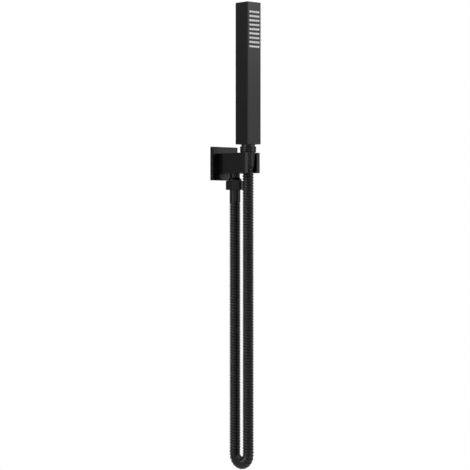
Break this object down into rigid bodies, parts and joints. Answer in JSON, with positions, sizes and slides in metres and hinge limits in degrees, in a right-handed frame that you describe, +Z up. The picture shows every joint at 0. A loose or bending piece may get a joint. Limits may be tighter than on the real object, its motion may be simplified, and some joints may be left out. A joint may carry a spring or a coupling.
{
  "type": "handheld shower head",
  "caption": "Square stick hand shower standing in the slotted holder of a square wall outlet, joined to it by a ribbed metal hose in a hanging loop.",
  "frame": {"origin": "centre of the wall plate's back face, which lies on the wall", "axes": "+Z up, +Y into the wall, +X to the right of a person who faces the wall"},
  "size_m": [0.05, 0.0863, 0.6885],
  "materials": {
    "matt_black_metal": "matt black coating on brass, satin sheen",
    "matt_black_abs": "matt black coating on moulded ABS",
    "black_plastic": "moulded black plastic",
    "brass": "turned, uncoated",
    "steel": "stainless steel",
    "black_rubber": "matt",
    "white_silicone": "soft silicone, satin",
    "white_plastic": "moulded natural acetal"
  },
  "bodies": {
    "wall_outlet": {"wall_plate": "matt_black_metal", "plate_gasket": "black_rubber", "inlet_nipple": "brass", "nipple_o_ring": "black_rubber", "bracket_body": "matt_black_metal", "grub_screw": "steel", "holder_liner": "black_plastic", "outlet_spigot": "matt_black_metal", "spigot_o_ring": "black_rubber", "check_valve_body": "white_plastic", "check_valve_spring": "steel", "outlet_nut": "matt_black_metal", "outlet_washer": "black_rubber", "outlet_tail": "brass", "outlet_ferrule": "matt_black_metal", "hose_jacket": "matt_black_metal", "hose_liner": "black_rubber"},
    "valve_poppet": {"check_valve_poppet": "white_plastic", "check_valve_seal": "black_rubber"},
    "hose_end": {"handset_ferrule": "steel", "handset_tail": "brass"},
    "handset": {"cone_nut": "matt_black_metal", "filter_washer": "black_rubber", "flow_limiter": "white_plastic", "inlet_connector": "black_plastic", "lower_tube_seal": "black_rubber", "water_tube": "white_plastic", "upper_tube_seal": "black_rubber", "spray_chamber": "white_plastic", "nozzle_mat": "white_silicone", "casing": "matt_black_abs", "top_cap": "matt_black_abs"}
  },
  "joints": [
    {"name": "handset_lift", "type": "slide", "parent": "wall_outlet", "child": "hose_end", "axis": [0, 0, 1], "range_m": [0, 0.03], "deforming": ["hose_jacket", "hose_liner"]},
    {"name": "handset_turn", "type": "hinge", "parent": "hose_end", "child": "handset", "pos_m": [0, -0.056, 0], "axis": [0, 0, 1], "continuous": true},
    {"name": "valve_open", "type": "slide", "parent": "wall_outlet", "child": "valve_poppet", "axis": [0, 0, -1], "range_m": [0, 0.002], "stiffness_N_per_m": 60, "springref_m": -0.002, "deforming": ["check_valve_spring"]}
  ]
}
